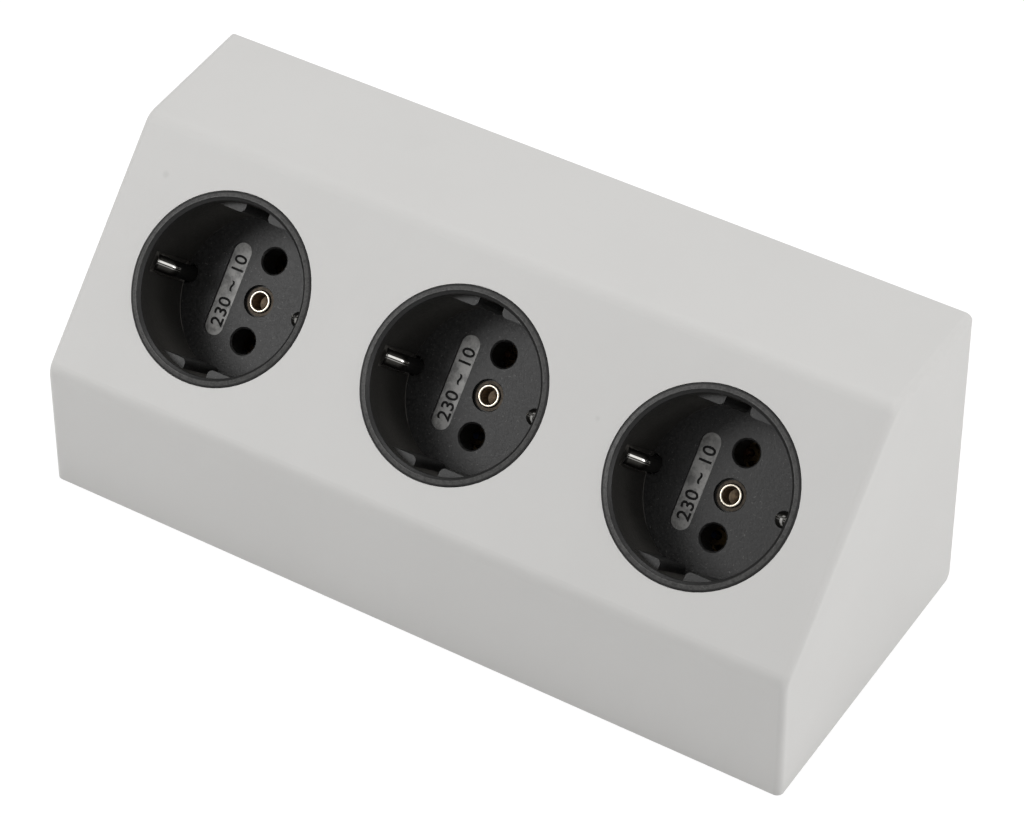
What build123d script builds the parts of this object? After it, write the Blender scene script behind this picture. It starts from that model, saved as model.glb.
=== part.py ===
from build123d import *
import os
from math import atan2, cos, hypot, pi, radians, sin, sqrt, tan

# Three-way desk socket strip with a sloping face, in millimetres.
# The origin is the middle of the footprint at the bottom of the housing.
# +X runs along the strip, +Y points to its back and +Z up.

# Housing outline, seen from the end
depth = 76.0
height = 76.0
front_height = 33.0
top_depth = 33.0
end_space = 13.85
end_draft = 1.4
housing_wall = 2.5
slope_edge_radius = 5.0
end_edge_radius = 1.6
corner_radius = 2.0

# Row of sockets on the slope
socket_names = ["left", "middle", "right"]
socket_gap = 18.0
socket_rise = 0.4
insert_clearance = 0.15
flange_clearance = 0.1
collar_height = 4.0
collar_wall = 1.6

# Socket cup
recess_radius = 19.45
recess_taper = 0.15
recess_depth = 19.4
mouth_drop = 0.5
cup_wall = 1.2
floor_thickness = 2.5
flange_overlap = 0.85
flange_sink = 1.0
flange_edge = 0.06
flange_rounding = 0.3
crest_inset = 1.3
crest_height = 0.42
crest_step = 0.15
lip_drop = 0.35
lip_rounding = 0.25
skirt_length = 3.0
skirt_wall = 1.4

# Guide ribs inside the cup
rib_depth = 2.4
rib_gap = 6.0
rib_corner_radius = 1.2
rib_top_depth = 3.0

# Pin holes and rating field in the cup's floor
pin_spacing = 19.0
pin_hole_radius = 2.9
pin_hole_chamfer = 0.35
pin_guide_length = 4.0
pin_guide_wall = 0.8
field_length = 22.0
field_width = 4.7
field_depth = 0.4
field_offset = 8.2

# Snap wedges and key on the outside of the cup
snap_count = 4
snap_angle = 45.0
snap_width = 8.0
snap_length = 3.0
snap_reach = 0.75
snap_gap = 0.15
key_width = 2.4
key_reach = 1.0
key_clearance = 0.2

# Centre rivet
rivet_shank_radius = 2.2
rivet_bore_radius = 1.78
rivet_bore_depth = 4.0
rivet_lip_radius = 0.42
rivet_collar_radius = 3.3
rivet_collar_height = 0.3
rivet_head_radius = 3.8
rivet_head_height = 1.0
rivet_clearance = 0.1
counterbore_radius = 3.65
counterbore_depth = 1.2

# Contact carrier behind the cup
carrier_height = 16.0
carrier_clearance = 0.2
chamber_length = 12.0
chamber_width = 8.4
chamber_floor = 3.0
carrier_edge = 0.8

# Line and neutral contacts
contact_sheet = 0.6
contact_grip_radius = 2.35
contact_top_gap = 3.2
contact_leaf_angle = 104.0
contact_flare = 0.8
contact_side_gap = 0.4
terminal_offset = 4.2
anvil_height = 6.0

# Earth bracket with its two sprung arms
earth_sheet = 0.8
earth_bar_width = 7.0
earth_arm_curve = 1.9
earth_arm_dish = 1.3
earth_arm_sheet = 0.45
earth_apex_inset = 3.4
earth_apex_depth = 7.1
earth_top_inset = 0.4
earth_top_depth = 4.9
earth_foot_inset = 1.3
earth_bend_radius = 1.6
earth_flare_length = 0.45
earth_flare_growth = 0.2
earth_slot_clearance = 0.4
earth_groove_web = 0.4
earth_tab_width = 4.4
earth_tab_web = 1.0
earth_tab_margin = 0.7
earth_seat_clearance = 0.2

# Jumper wires between the sockets
wire_radius = 1.4
core_radius = 0.69
power_wire_share = 0.5
earth_wire_share = 0.36
wire_bend_clearance = 1.5
wire_hole_clearance = 0.2
stripped_length = 5.0
wire_seat_depth = 1.5

# Base bracket that closes the back and the bottom
base_wall = 2.5
cover_gap = 0.2
base_inner_radius = 3.0
land_depth = 11.0
land_thickness = 4.0
land_width = 14.0
screw_pocket_radius = 4.5
seat_gap = 0.1

# Cover screws and the posts they go into
post_radius = 4.0
end_post_inset = 3.4
end_post_height = 16.0
post_web = 3.0
screw_core_radius = 1.45
screw_hole_radius = 1.9
screw_bite = 12.0
pilot_clearance = 0.05
pilot_spare = 2.0
screw_head_radius = 3.1
screw_head_height = 2.2
drive_length = 3.4
drive_width = 0.8
drive_depth = 1.2
partition_thickness = 2.0
partition_depth = 36.0

# Keyhole slots for hanging the strip
keyhole_spacing = 146.0
keyhole_head_radius = 4.5
keyhole_slot_width = 4.6
keyhole_travel = 9.0
keyhole_cover_height = 4.5
keyhole_cover_wall = 1.2
bottom_keyhole_y = 4.0
back_keyhole_z = 44.0

# Cable entry in the left end wall
entry_depth = 36.0
entry_hole_radius = 7.0
entry_pad_radius = 10.5
entry_pad_height = 2.2
grommet_bore_radius = 4.1
grommet_flange_radius = 9.2
grommet_flange_height = 1.5
grommet_collar_radius = 8.3
grommet_collar_height = 2.0
grommet_sink = 0.3
grommet_clearance = 0.1

# Places worked out from the sizes above
slope_run = depth - top_depth
slope_rise = height - front_height
slope_length = hypot(slope_run, slope_rise)
slope_angle = atan2(slope_rise, slope_run)
up_slope = Vector(0, cos(slope_angle), sin(slope_angle))
outward = Vector(0, -sin(slope_angle), cos(slope_angle))
slope_centre = Vector(0, -depth / 2, front_height) + up_slope * (slope_length / 2 + socket_rise)
back_corner = Vector(0, depth / 2, 0) - slope_centre
corner_v = back_corner.dot(up_slope)
corner_w = back_corner.dot(outward)
socket_count = len(socket_names)
cup_body_radius = recess_radius + cup_wall
floor_radius = recess_radius - recess_taper
flange_radius = cup_body_radius + flange_overlap
crest_radius = flange_radius - crest_inset
rib_chord = recess_radius - rib_depth
socket_pitch = 2 * cup_body_radius + socket_gap
overall_length = (socket_count - 1) * socket_pitch + 2 * (cup_body_radius + end_space)
socket_x = [(i - (socket_count - 1) / 2) * socket_pitch for i in range(socket_count)]
floor_w = -recess_depth
cup_bottom_w = floor_w - floor_thickness
carrier_bottom_w = cup_bottom_w - carrier_height
pin_v = [pin_spacing / 2, -pin_spacing / 2]
carrier_radius = cup_body_radius - skirt_wall - carrier_clearance
earth_apex_reach = recess_radius - earth_apex_inset
earth_top_reach = recess_radius - earth_top_inset
earth_foot_reach = recess_radius - earth_foot_inset
earth_arm_half_width = sqrt(earth_arm_curve**2 - (earth_arm_curve - earth_arm_dish) ** 2)
earth_tab_offset = chamber_length / 2 + earth_tab_web + earth_tab_width / 2
earth_tab_corner = earth_tab_offset + earth_tab_width / 2
earth_tab_end = sqrt((carrier_radius - earth_tab_margin) ** 2 - earth_tab_corner**2)
earth_tab_reach = earth_tab_end - earth_tab_width / 2
land_face_w = corner_w + land_depth
post_end_w = land_face_w + land_thickness + seat_gap
entry_spot = slope_centre - outward * entry_depth
reach = 2 * (depth + height)


def half_length(w):
    """Half the outer length at the height w above the slope plane."""
    return overall_length / 2 - tan(radians(end_draft)) * (w - corner_w)


def slope_plane(x=0.0, v=0.0, w=0.0):
    """Plane along the slope: its x is +X, its y runs up the slope, its z points out of it."""
    origin = slope_centre + Vector(x, 0, 0) + up_slope * v + outward * w
    return Plane(origin=origin, x_dir=(1, 0, 0), z_dir=outward)


def in_slope(part, x=0.0, v=0.0, w=0.0):
    """Move a part from its own axes to a place on the slope."""
    return slope_plane(x, v, w) * part


def prism(points, rounded):
    """Solid with this (y, z) outline all along X; rounded lists (corner, radius)."""
    face = make_face(Polyline(*points, close=True))
    for corner, radius in rounded:
        spot = Vector(corner[0], corner[1], 0)
        nearest = face.vertices().sort_by_distance(spot)[0]
        face = fillet(nearest, radius)
    return extrude(Plane.YZ * face, amount=reach, both=True)


def between_ends(inset):
    """Wedge between the two tilted end faces, each moved inwards by inset."""
    low = corner_w - depth
    high = depth
    corners = [
        (half_length(low) - inset, low),
        (half_length(high) - inset, high),
        (inset - half_length(high), high),
        (inset - half_length(low), low),
    ]
    plane = Plane(origin=slope_centre, x_dir=(1, 0, 0), z_dir=up_slope * -1)
    return extrude(plane * make_face(Polyline(*corners, close=True)), amount=reach, both=True)


def cylinder_along(radius, bottom, top, u=0.0, v=0.0):
    """Upright cylinder between two heights of a part's own axes."""
    return Pos(u, v, (bottom + top) / 2) * Cylinder(radius, top - bottom)


def block_between(size_u, size_v, bottom, top, u=0.0, v=0.0):
    """Upright block between two heights of a part's own axes."""
    return Pos(u, v, (bottom + top) / 2) * Box(size_u, size_v, top - bottom)


def housing_solid():
    """The housing's outside as a solid block, its visible edges rounded."""
    back = depth / 2
    points = [(-back, 0), (-back, front_height), (back - top_depth, height), (back, height), (back, 0)]
    rounded = [(points[1], slope_edge_radius), (points[2], slope_edge_radius), (points[4], corner_radius)]
    block = prism(points, rounded) & between_ends(0)
    ends = block.faces().filter_by(lambda face: abs(face.normal_at().X) > 0.9)
    outline = ends.edges()
    showing = outline.filter_by(lambda edge: edge.center().Z > 0.1 and edge.center().Y < back - 0.1)
    soft = showing.filter_by(lambda edge: edge.center().Z > corner_radius or edge.center().Y < 0)
    return fillet(soft, end_edge_radius)


def housing_cavity(inset, lowest, rearmost):
    """Space inside the walls, down to the height lowest and back to y = rearmost."""
    back = depth / 2
    front = -back + inset
    lower_z = front_height - inset * (1 - sin(slope_angle)) / cos(slope_angle)
    upper_y = back - top_depth + inset * (1 - cos(slope_angle)) / sin(slope_angle)
    points = [
        (front, lowest),
        (front, lower_z),
        (upper_y, height - inset),
        (rearmost, height - inset),
        (rearmost, lowest),
    ]
    inner_radius = slope_edge_radius - housing_wall
    rounded = [(points[1], inner_radius), (points[2], inner_radius)]
    return prism(points, rounded) & between_ends(inset)


def post_places():
    """The x of each screw post: one at each end and one between each two sockets."""
    end_x = half_length(0) - housing_wall - end_post_inset
    between = [(a + b) / 2 for a, b in zip(socket_x, socket_x[1:])]
    return [-end_x] + between + [end_x]


def entry_face_x():
    """The x of the left end face at the middle of the cable entry."""
    return -half_length(-entry_depth)


def screw_posts():
    """Posts for the cover screws: full-length ones between sockets, short ones at the ends."""
    places = post_places()
    posts = Part()
    for x in places[1:-1]:
        posts += in_slope(cylinder_along(post_radius, post_end_w, -housing_wall / 2), x, corner_v)
    for x in (places[0], places[-1]):
        top = post_end_w + end_post_height
        posts += in_slope(cylinder_along(post_radius, post_end_w, top), x, corner_v)
        web_x = x + post_radius * (1 if x > 0 else -1)
        posts += in_slope(block_between(2 * post_radius, post_web, post_end_w, top), web_x, corner_v)
    return posts


def make_housing():
    """Moulded shell, open at the back and the bottom, with collars, posts and partitions."""
    cavity = housing_cavity(housing_wall, -depth, depth)
    free_space = housing_cavity(housing_wall, base_wall + cover_gap, depth / 2 - base_wall - cover_gap)
    shell = housing_solid() - cavity
    places = post_places()
    collar_bottom = -housing_wall - collar_height
    hole_radius = cup_body_radius + insert_clearance
    for x in socket_x:
        shell += in_slope(cylinder_along(hole_radius + collar_wall, collar_bottom, -housing_wall / 2), x)
    for x in places[1:-1]:
        shell += in_slope(block_between(partition_thickness, reach, -partition_depth, 0), x) & free_space
    shell += screw_posts() & free_space
    entry_x = entry_face_x()
    pad = Rot(0, 90, 0) * Cylinder(entry_pad_radius, housing_wall + entry_pad_height)
    pad_x = entry_x + (housing_wall + entry_pad_height) / 2
    pad_room = housing_cavity(housing_wall / 2, base_wall + cover_gap, depth / 2)
    shell += (Pos(pad_x, entry_spot.Y, entry_spot.Z) * pad) & pad_room
    for x in socket_x:
        shell -= in_slope(cylinder_along(hole_radius, collar_bottom - 1, 1), x)
        shell -= in_slope(cylinder_along(flange_radius + flange_clearance, -flange_sink, 1), x)
        slot_width = key_width + 2 * key_clearance
        slot = block_between(slot_width, 2 * key_reach, collar_bottom - 1, -housing_wall, 0, hole_radius)
        shell -= in_slope(slot, x)
    pilot_radius = screw_core_radius + pilot_clearance
    pilot_top = post_end_w + screw_bite + pilot_spare
    for x in places:
        shell -= in_slope(cylinder_along(pilot_radius, post_end_w - 1, pilot_top), x, corner_v)
    hole = Rot(0, 90, 0) * Cylinder(entry_hole_radius, 8 * housing_wall)
    shell -= Pos(entry_x, entry_spot.Y, entry_spot.Z) * hole
    seat_depth = grommet_sink + grommet_flange_height + grommet_clearance
    seat = Rot(0, 90, 0) * Cylinder(grommet_flange_radius + 2 * grommet_clearance, 2 * seat_depth)
    return shell - Pos(entry_x, entry_spot.Y, entry_spot.Z) * seat


def screw_land(x):
    """Block across the inner back corner of the base bracket, with its land for one screw."""
    top = post_end_w - seat_gap
    return in_slope(block_between(land_width, reach, corner_w - depth, top), x, corner_v)


def keyhole(travel_direction):
    """Keyhole cutter lying flat: a round entry and a narrower slot that runs up its y."""
    entry = Cylinder(keyhole_head_radius, 4 * base_wall)
    slot = Pos(0, keyhole_travel / 2, 0) * Box(keyhole_slot_width, keyhole_travel, 4 * base_wall)
    end = Pos(0, keyhole_travel, 0) * Cylinder(keyhole_slot_width / 2, 4 * base_wall)
    return Rot(0, 0, travel_direction) * (entry + slot + end)


def keyhole_cover(travel_direction):
    """Closed hood that keeps a hanging screw's head away from the wiring."""
    inner_length = keyhole_travel + keyhole_head_radius + keyhole_slot_width + 1
    inner_width = 2 * keyhole_head_radius + 1
    middle = (keyhole_travel + keyhole_slot_width - keyhole_head_radius) / 2
    outer_width = inner_width + 2 * keyhole_cover_wall
    outer_length = inner_length + 2 * keyhole_cover_wall
    hood = block_between(outer_width, outer_length, 0, keyhole_cover_height + keyhole_cover_wall, 0, middle)
    room = block_between(inner_width, inner_length, -1, keyhole_cover_height, 0, middle)
    return Rot(0, 0, travel_direction) * (hood - room)


def keyhole_planes():
    """Planes of the keyholes, on the inner faces of the bottom and of the back."""
    places = []
    for side in (-1, 1):
        x = side * keyhole_spacing / 2
        places.append((Plane(origin=(x, bottom_keyhole_y, base_wall), x_dir=(1, 0, 0), z_dir=(0, 0, 1)), 90))
        back_y = depth / 2 - base_wall
        places.append((Plane(origin=(x, back_y, back_keyhole_z), x_dir=(1, 0, 0), z_dir=(0, -1, 0)), 0))
    return places


def make_base_bracket():
    """L-shaped cover of the back and the bottom, flush with the housing's rim."""
    back = depth / 2
    front = -back + housing_wall + cover_gap
    top = height - housing_wall - cover_gap
    points = [
        (front, 0),
        (back, 0),
        (back, top),
        (back - base_wall, top),
        (back - base_wall, base_wall),
        (front, base_wall),
    ]
    rounded = [(points[1], corner_radius), (points[4], base_inner_radius)]
    ends = between_ends(housing_wall + cover_gap)
    bracket = prism(points, rounded) & ends
    envelope_points = [(front, 0), (back, 0), (back, top), (front, top)]
    envelope = prism(envelope_points, [(envelope_points[1], corner_radius)]) & ends
    for x in post_places():
        bracket += screw_land(x) & envelope
    for plane, turn in keyhole_planes():
        bracket += plane * keyhole_cover(turn)
        bracket -= plane * Pos(0, 0, -2 * base_wall + keyhole_cover_height / 2) * keyhole(turn)
    for x in post_places():
        bracket -= in_slope(cylinder_along(screw_pocket_radius, corner_w - depth, land_face_w), x, corner_v)
        bracket -= in_slope(cylinder_along(screw_hole_radius, corner_w - depth, post_end_w + 1), x, corner_v)
    return bracket


def make_cover_screw():
    """Pan-head screw standing on its land, its core reaching up into the post."""
    head = cylinder_along(screw_head_radius, -screw_head_height, 0)
    head = fillet(head.edges().group_by(Axis.Z)[0], screw_head_height / 3)
    core = cylinder_along(screw_core_radius, 0, land_thickness + screw_bite)
    core = chamfer(core.edges().group_by(Axis.Z)[-1], screw_core_radius / 2)
    drive = Box(drive_length, drive_width, 2 * drive_depth) + Box(drive_width, drive_length, 2 * drive_depth)
    return head + core - Pos(0, 0, -screw_head_height) * drive


def make_cover_screws():
    """The four cover screws, each on its own land."""
    return [in_slope(make_cover_screw(), x, corner_v, land_face_w) for x in post_places()]


def cup_section():
    """Half section of the cup's flange, wall and floor, turned round the socket's axis."""
    outer_corner = (flange_radius, flange_edge)
    crest = (crest_radius, crest_height)
    step_foot = (crest_radius - crest_step, crest_height - lip_drop)
    mouth = (recess_radius, -mouth_drop)
    line = Polyline(
        (0, cup_bottom_w),
        (cup_body_radius - skirt_wall, cup_bottom_w),
        (cup_body_radius - skirt_wall, cup_bottom_w - skirt_length),
        (cup_body_radius, cup_bottom_w - skirt_length),
        (cup_body_radius, -flange_sink),
        (flange_radius, -flange_sink),
        outer_corner,
        crest,
        step_foot,
        mouth,
        (floor_radius, floor_w),
        (0, floor_w),
        close=True,
    )
    face = make_face(line)
    for corner, radius in ((outer_corner, flange_rounding), (crest, crest_step), (mouth, lip_rounding)):
        nearest = face.vertices().sort_by_distance(Vector(corner[0], corner[1], 0))[0]
        face = fillet(nearest, radius)
    return face


def rib_sketch():
    """The four guide ribs seen from the front, each with one rounded corner."""
    ring = Circle(floor_radius + (cup_body_radius - floor_radius) / 2)
    band = Rectangle(2 * flange_radius, 2 * rib_chord)
    gap = Rectangle(rib_gap, 2 * flange_radius)
    ribs = ring - band - gap
    corners = [
        vertex
        for vertex in ribs.vertices()
        if abs(abs(vertex.X) - rib_gap / 2) < 0.01 and abs(abs(vertex.Y) - rib_chord) < 0.01
    ]
    return fillet(corners, rib_corner_radius)


def make_cup():
    """Socket cup with its flange, guide ribs, pin holes, rating field and snap wedges."""
    turned = revolve(Plane.XZ * cup_section(), Axis.Z)
    inside_floor = floor_w - floor_thickness / 2
    rib_height = floor_thickness / 2 - rib_top_depth - floor_w
    ribs = extrude(Pos(0, 0, inside_floor) * rib_sketch(), rib_height)
    cup = turned + ribs
    guide_bottom = cup_bottom_w - pin_guide_length
    for v in pin_v:
        cup += cylinder_along(pin_hole_radius + pin_guide_wall, guide_bottom, inside_floor, 0, v)
        cup -= cylinder_along(pin_hole_radius, guide_bottom - 1, floor_w + 1, 0, v)
        rim_radius = pin_hole_radius + pin_hole_chamfer
        sink = Cone(pin_hole_radius, rim_radius, pin_hole_chamfer)
        cup -= Pos(0, v, floor_w - pin_hole_chamfer / 2) * sink
    cup -= cylinder_along(counterbore_radius, floor_w - counterbore_depth, floor_w + 1)
    cup -= cylinder_along(rivet_shank_radius + rivet_clearance, cup_bottom_w - 1, floor_w)
    field = SlotOverall(field_length, field_width, rotation=90)
    cup -= extrude(Pos(-field_offset, 0, floor_w - field_depth) * field, 2 * field_depth)
    slot_radius = earth_arm_curve + earth_slot_clearance
    slot_u = earth_foot_reach + earth_arm_curve - earth_arm_dish
    for side in (-1, 1):
        slot = cylinder_along(slot_radius, cup_bottom_w - 1, floor_w + 1, side * slot_u)
        cup -= slot & cylinder_along(carrier_radius, cup_bottom_w - 1, floor_w + 1)
    groove_top = earth_arm_dish + earth_flare_growth + earth_flare_length - earth_top_depth
    groove_width = 2 * (earth_arm_half_width + earth_flare_growth + earth_slot_clearance)
    groove = block_between(2 * cup_body_radius, groove_width, floor_w, groove_top)
    cup -= groove & cylinder_along(cup_body_radius - earth_groove_web, floor_w, groove_top)
    cup += snap_wedges()
    key_top = -housing_wall
    key = block_between(key_width, 2 * key_reach, cup_bottom_w, key_top, 0, cup_body_radius)
    key_inside = cylinder_along(cup_body_radius - skirt_wall / 2, cup_bottom_w, key_top)
    return cup + (key - key_inside)


def snap_wedges():
    """Wedges that spring out under the housing's collar."""
    seat = -housing_wall - collar_height - snap_gap
    inner = cup_body_radius - skirt_wall / 2
    section = Polyline(
        (inner, seat),
        (cup_body_radius + snap_reach, seat),
        (cup_body_radius + snap_reach, seat - snap_reach / 2),
        (cup_body_radius, seat - snap_length),
        (inner, seat - snap_length),
        close=True,
    )
    angle = snap_width / cup_body_radius * 180 / pi
    wedge = revolve(Plane.XZ * make_face(section), Axis.Z, angle)
    wedges = None
    for i in range(snap_count):
        turned = Rot(0, 0, snap_angle + i * 360 / snap_count - angle / 2) * wedge
        wedges = turned if wedges is None else wedges + turned
    return wedges


def earth_bar_sketch(grow):
    """Outline of the earth bracket's flat bar with its two terminal tabs, grown all round."""
    bar_length = 2 * (earth_foot_reach + earth_sheet / 2)
    bar = Rectangle(bar_length + 2 * grow, earth_bar_width + 2 * grow)
    for side in (-1, 1):
        tab = Rectangle(earth_tab_width + 2 * grow, earth_tab_end + grow)
        bar += Pos(side * earth_tab_offset, -(earth_tab_end + grow) / 2) * tab
    return bar


def arm_section(curve, dish):
    """Section of a dished strip: an arc that stands dish ahead of its own two edges."""
    arc = Circle(curve) - Circle(curve - earth_arm_sheet)
    return Pos(curve - dish, 0) * arc - Pos(2 * curve, 0) * Rectangle(4 * curve, 4 * curve)


def earth_arm():
    """Right arm: a dished strip that rises, bends in and then back, its end flared in the wall's groove."""
    foot = (earth_foot_reach, 0, cup_bottom_w - earth_sheet / 2)
    apex = (earth_apex_reach, 0, -earth_apex_depth)
    top = (earth_top_reach, 0, -earth_top_depth)
    path = FilletPolyline(foot, apex, top, radius=earth_bend_radius)
    section = arm_section(earth_arm_curve, earth_arm_dish)
    start = Plane(origin=path @ 0, x_dir=(1, 0, (foot[0] - apex[0]) / (apex[2] - foot[2])), z_dir=path % 0)
    strip = sweep(start * section, path=path)
    end = Plane(origin=path @ 1, x_dir=Vector(0, 1, 0).cross(path % 1), z_dir=path % 1)
    rim = end.offset(earth_flare_length)
    wide_section = arm_section(earth_arm_curve + earth_flare_growth, earth_arm_dish + earth_flare_growth)
    flare = loft([(end * section).face(), (rim * wide_section).face()])
    return strip + flare


def make_earth_bracket():
    """Flat bar behind the cup's floor with two sprung arms and two terminal tabs."""
    bar = extrude(Pos(0, 0, cup_bottom_w - earth_sheet) * earth_bar_sketch(0), earth_sheet)
    arm = earth_arm()
    bracket = bar + arm + mirror(arm, about=Plane.YZ)
    return bracket - cylinder_along(rivet_shank_radius + rivet_clearance, cup_bottom_w - 2, cup_bottom_w + 1)


def wire_places():
    """Each pole's name, the v and offset of its wire holes, and how deep its jumper runs."""
    return [
        ("line", pin_v[0], terminal_offset, power_wire_share),
        ("neutral", pin_v[1], terminal_offset, power_wire_share),
        ("earth", -earth_tab_reach, earth_tab_offset, earth_wire_share),
    ]


def cover_w(v):
    """Height above the slope plane at which the line at v meets the bottom or the back cover."""
    at_bottom = (base_wall - slope_centre.Z - up_slope.Z * v) / outward.Z
    at_back = (depth / 2 - base_wall - slope_centre.Y - up_slope.Y * v) / outward.Y
    return max(at_bottom, at_back)


def make_carrier():
    """Round block that holds the contacts behind the cup, with wire holes in its back."""
    carrier = cylinder_along(carrier_radius, carrier_bottom_w, cup_bottom_w)
    carrier = chamfer(carrier.edges().group_by(Axis.Z)[0], carrier_edge)
    seat = earth_bar_sketch(earth_seat_clearance)
    carrier -= extrude(Pos(0, 0, cup_bottom_w - earth_sheet) * seat, 2 * earth_sheet)
    chamber_bottom = carrier_bottom_w + chamber_floor
    for v in pin_v:
        carrier -= block_between(chamber_length, chamber_width, chamber_bottom, cup_bottom_w + 1, 0, v)
    hole_radius = wire_radius + wire_hole_clearance
    for pole, v, offset, share in wire_places():
        for side in (-1, 1):
            carrier -= cylinder_along(hole_radius, carrier_bottom_w - 1, chamber_bottom, side * offset, v)
            if pole == "earth":
                top = cup_bottom_w - earth_sheet
                carrier -= cylinder_along(hole_radius, carrier_bottom_w, top + 0.1, side * offset, v)
    rivet_hole_radius = rivet_shank_radius + rivet_clearance
    return carrier - cylinder_along(rivet_hole_radius, carrier_bottom_w - 1, cup_bottom_w + 1)


def make_contact():
    """Sprung pin contact: a base plate with two curved leaves and a bent-up anvil at each end."""
    bottom = carrier_bottom_w + chamber_floor
    plate_top = bottom + contact_sheet
    length = chamber_length - 2 * contact_side_gap
    width = chamber_width - 2 * contact_side_gap
    plate = block_between(length, width, bottom, plate_top)
    hole_radius = core_radius + wire_hole_clearance
    for side in (-1, 1):
        anvil_u = side * (length - contact_sheet) / 2
        plate += block_between(contact_sheet, width / 2, bottom, bottom + anvil_height, anvil_u)
        plate -= cylinder_along(hole_radius, bottom - 1, plate_top + 1, side * terminal_offset)
    inner = contact_grip_radius
    outer = inner + contact_sheet
    top = cup_bottom_w - pin_guide_length - contact_top_gap
    waist = top - 2 * contact_flare
    section = Polyline(
        (inner, bottom),
        (inner, waist),
        (inner + contact_flare, top),
        (outer + contact_flare, top),
        (outer, waist),
        (outer, bottom),
        close=True,
    )
    leaf = revolve(Plane.XZ * make_face(section), Axis.Z, contact_leaf_angle)
    for middle in (90, 270):
        plate += Rot(0, 0, middle - contact_leaf_angle / 2) * leaf
    return plate


def make_rivet():
    """Semi-tubular rivet: a head behind the carrier, a flat collar and a rolled lip in the cup's floor."""
    collar_bottom = floor_w - counterbore_depth
    lip_w = collar_bottom + rivet_lip_radius
    bore_bottom = lip_w - rivet_bore_depth
    cone_bottom = bore_bottom - rivet_bore_radius / 2
    head_bottom = carrier_bottom_w - rivet_head_height
    section = Polyline(
        (0, head_bottom),
        (rivet_head_radius, head_bottom),
        (rivet_head_radius, carrier_bottom_w),
        (rivet_shank_radius, carrier_bottom_w),
        (rivet_shank_radius, collar_bottom),
        (rivet_collar_radius, collar_bottom),
        (rivet_collar_radius, collar_bottom + rivet_collar_height),
        (rivet_shank_radius, collar_bottom + rivet_collar_height),
        (rivet_shank_radius, lip_w),
        (rivet_bore_radius, lip_w),
        (rivet_bore_radius, bore_bottom),
        (0, cone_bottom),
        close=True,
    )
    face = make_face(section)
    head_corner = face.vertices().sort_by_distance(Vector(rivet_head_radius, head_bottom, 0))[0]
    face = fillet(head_corner, rivet_head_height / 2)
    body = revolve(Plane.XZ * face, Axis.Z)
    lip = Pos(0, 0, lip_w) * Torus(rivet_bore_radius + rivet_lip_radius, rivet_lip_radius)
    return body + lip


def make_jumper(x_from, x_to, v, offset, share):
    """Insulated jumper wire in one U, its stripped ends standing in two carriers."""
    seat_w = carrier_bottom_w + wire_seat_depth
    drop = share * (carrier_bottom_w - cover_w(v))
    low_w = carrier_bottom_w - drop
    points = [
        (x_from + offset, v, seat_w),
        (x_from + offset, v, low_w),
        (x_to - offset, v, low_w),
        (x_to - offset, v, seat_w),
    ]
    path = FilletPolyline(*points, radius=drop - wire_bend_clearance)
    start = Plane(origin=path @ 0, z_dir=path % 0)
    wire = sweep(start * Circle(wire_radius), path=path)
    for x in (x_from + offset, x_to - offset):
        wire += cylinder_along(core_radius, seat_w - 0.5, seat_w + stripped_length, x, v)
    return in_slope(wire)


def make_grommet():
    """Rubber grommet that lines the cable entry, its outer flange sunk into the end wall."""
    outer_x = entry_face_x() + grommet_sink
    flange_end = outer_x + grommet_flange_height
    collar_start = entry_face_x() + housing_wall + entry_pad_height + grommet_clearance
    collar_end = collar_start + grommet_collar_height
    neck = entry_hole_radius - grommet_clearance
    section = Polyline(
        (outer_x, grommet_bore_radius),
        (outer_x, grommet_flange_radius),
        (flange_end, grommet_flange_radius),
        (flange_end, neck),
        (collar_start, neck),
        (collar_start, grommet_collar_radius),
        (collar_end, neck),
        (collar_end, grommet_bore_radius),
        close=True,
    )
    ring = revolve(make_face(section), Axis.X)
    return Pos(0, entry_spot.Y, entry_spot.Z) * ring


def save(name, shape):
    """Write one piece, or a group of separate solids, under its node name."""
    if isinstance(shape, list):
        shape = Compound(children=shape)
    export_step(shape, f"parts/{name}.step")


os.makedirs("parts", exist_ok=True)
save("housing", make_housing())
save("base_bracket", make_base_bracket())
save("cover_screws", make_cover_screws())
save("cable_grommet", make_grommet())
cup = make_cup()
carrier = make_carrier()
contact = make_contact()
earth_bracket = make_earth_bracket()
rivet = make_rivet()
for name, x in zip(socket_names, socket_x):
    save(f"socket_cup_{name}", in_slope(cup, x))
    save(f"contact_carrier_{name}", in_slope(carrier, x))
    save(f"line_contact_{name}", in_slope(contact, x, pin_v[0]))
    save(f"neutral_contact_{name}", in_slope(contact, x, pin_v[1]))
    save(f"earth_bracket_{name}", in_slope(earth_bracket, x))
    save(f"centre_rivet_{name}", in_slope(rivet, x))
for name, x_from, x_to in zip(socket_names, socket_x, socket_x[1:]):
    for pole, v, offset, share in wire_places():
        save(f"{pole}_jumper_{name}", make_jumper(x_from, x_to, v, offset, share))
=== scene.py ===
import math

import bpy
from mathutils import Matrix, Vector


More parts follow.
